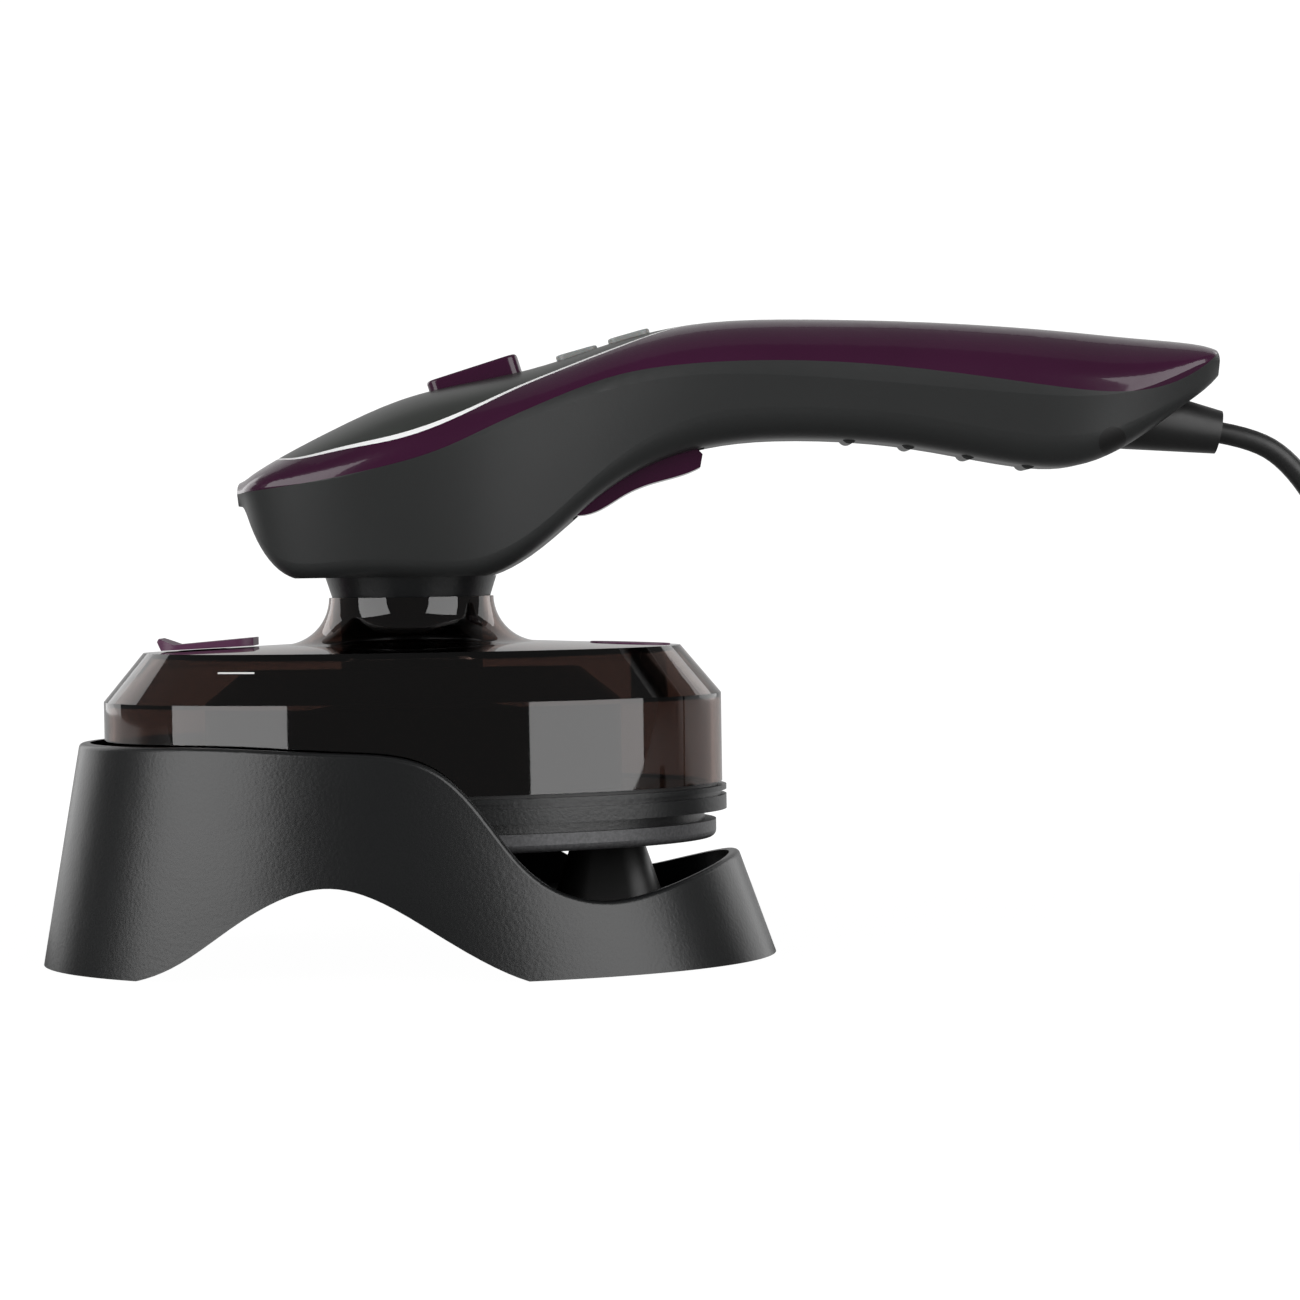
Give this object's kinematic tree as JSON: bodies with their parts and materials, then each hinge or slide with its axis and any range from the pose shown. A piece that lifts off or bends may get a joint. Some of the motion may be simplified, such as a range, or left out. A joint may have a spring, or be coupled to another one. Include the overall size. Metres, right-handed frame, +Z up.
{
  "type": "clothes iron",
  "caption": "Hand-held steam iron with an oval sole, clear water tank and long curved handle, standing in a moulded stand with its mains cord coiled.",
  "frame": {"origin": "on the table, under the middle of the length and width of the iron in its stand, cord left out", "axes": "+Z up, +X from the nose towards the cord end of the handle, +Y across"},
  "size_m": [0.4479, 0.1652, 0.1576],
  "materials": {
    "sole_coating": "dark ceramic coating",
    "cast_aluminium": "cast",
    "grey_plastic": "moulded satin",
    "black_rubber": "moulded",
    "black_plastic": "moulded",
    "smoked_clear": "smoked clear polycarbonate",
    "plum_gloss": "polished",
    "plum_rubber": "soft moulded",
    "button_grey": "satin",
    "panel_black": "satin",
    "silver_trim": "plated",
    "steel": "ground",
    "board_green": "lacquered",
    "cord_black": "extruded",
    "plug_black": "moulded",
    "pin_nickel": "nickel plated",
    "stand_black": "fine spark-eroded texture"
  },
  "bodies": {
    "stand": {"stand_shell": "stand_black", "rear_rest": "black_rubber", "front_rest": "black_rubber"},
    "iron": {"soleplate": "sole_coating", "heater_block": "cast_aluminium", "base_ring": "grey_plastic", "tank_seal": "black_rubber", "steam_housing": "black_plastic", "water_tank": "smoked_clear", "rear_cap": "plum_gloss", "outlet_valve": "black_plastic", "neck_collar": "grey_plastic", "control_panel": "panel_black", "panel_trim": "silver_trim", "top_cover": "plum_gloss", "cord_guard": "black_rubber", "lower_body": "grey_plastic", "water_pump": "black_plastic", "screw_plugs": "grey_plastic", "trigger_pin": "steel", "trigger_switch": "black_plastic", "control_board": "board_green", "cord_lead": "cord_black", "cord_coil": "cord_black", "cord_tie": "black_rubber", "plug_body": "plug_black", "plug_pins": "pin_nickel"},
    "flap": {"filler_flap": "plum_rubber"},
    "trigger": {"trigger": "plum_gloss"},
    "slider": {"slider": "plum_gloss"},
    "button_front": {"button_front": "button_grey"},
    "button_rear": {"button_rear": "button_grey"},
    "plunger": {"switch_plunger": "button_grey"}
  },
  "joints": [
    {"name": "lift_off", "type": "slide", "parent": "stand", "child": "iron", "axis": [0, 0, 1], "range_m": [0, 0.08]},
    {"name": "flap_hinge", "type": "hinge", "parent": "iron", "child": "flap", "pos_m": [-0.093, 0, 0.0792], "axis": [0, 1, 0], "range_deg": [0, 70]},
    {"name": "trigger_pull", "type": "hinge", "parent": "iron", "child": "trigger", "pos_m": [-0.002, 0, 0.123], "axis": [0, -1, 0], "range_deg": [0, 6], "stiffness_Nm_per_rad": 0.6, "springref_deg": -2.86},
    {"name": "slider_slide", "type": "slide", "parent": "iron", "child": "slider", "axis": [0.9563, 0, 0.2924], "range_m": [0, 0.004]},
    {"name": "button_front_press", "type": "slide", "parent": "iron", "child": "button_front", "axis": [0.2588, 0, -0.9659], "range_m": [0, 0.0008], "stiffness_N_per_m": 900, "springref_m": -0.0006},
    {"name": "button_rear_press", "type": "slide", "parent": "iron", "child": "button_rear", "axis": [0.2588, 0, -0.9659], "range_m": [0, 0.0008], "stiffness_N_per_m": 900, "springref_m": -0.0006},
    {"name": "plunger_press", "type": "slide", "parent": "iron", "child": "plunger", "axis": [0, 0, 1], "range_m": [0, 0.0016]}
  ],
  "couplings": [
    {"joint": "plunger_press", "follows": "trigger_pull", "m_per_rad": 0.015}
  ]
}
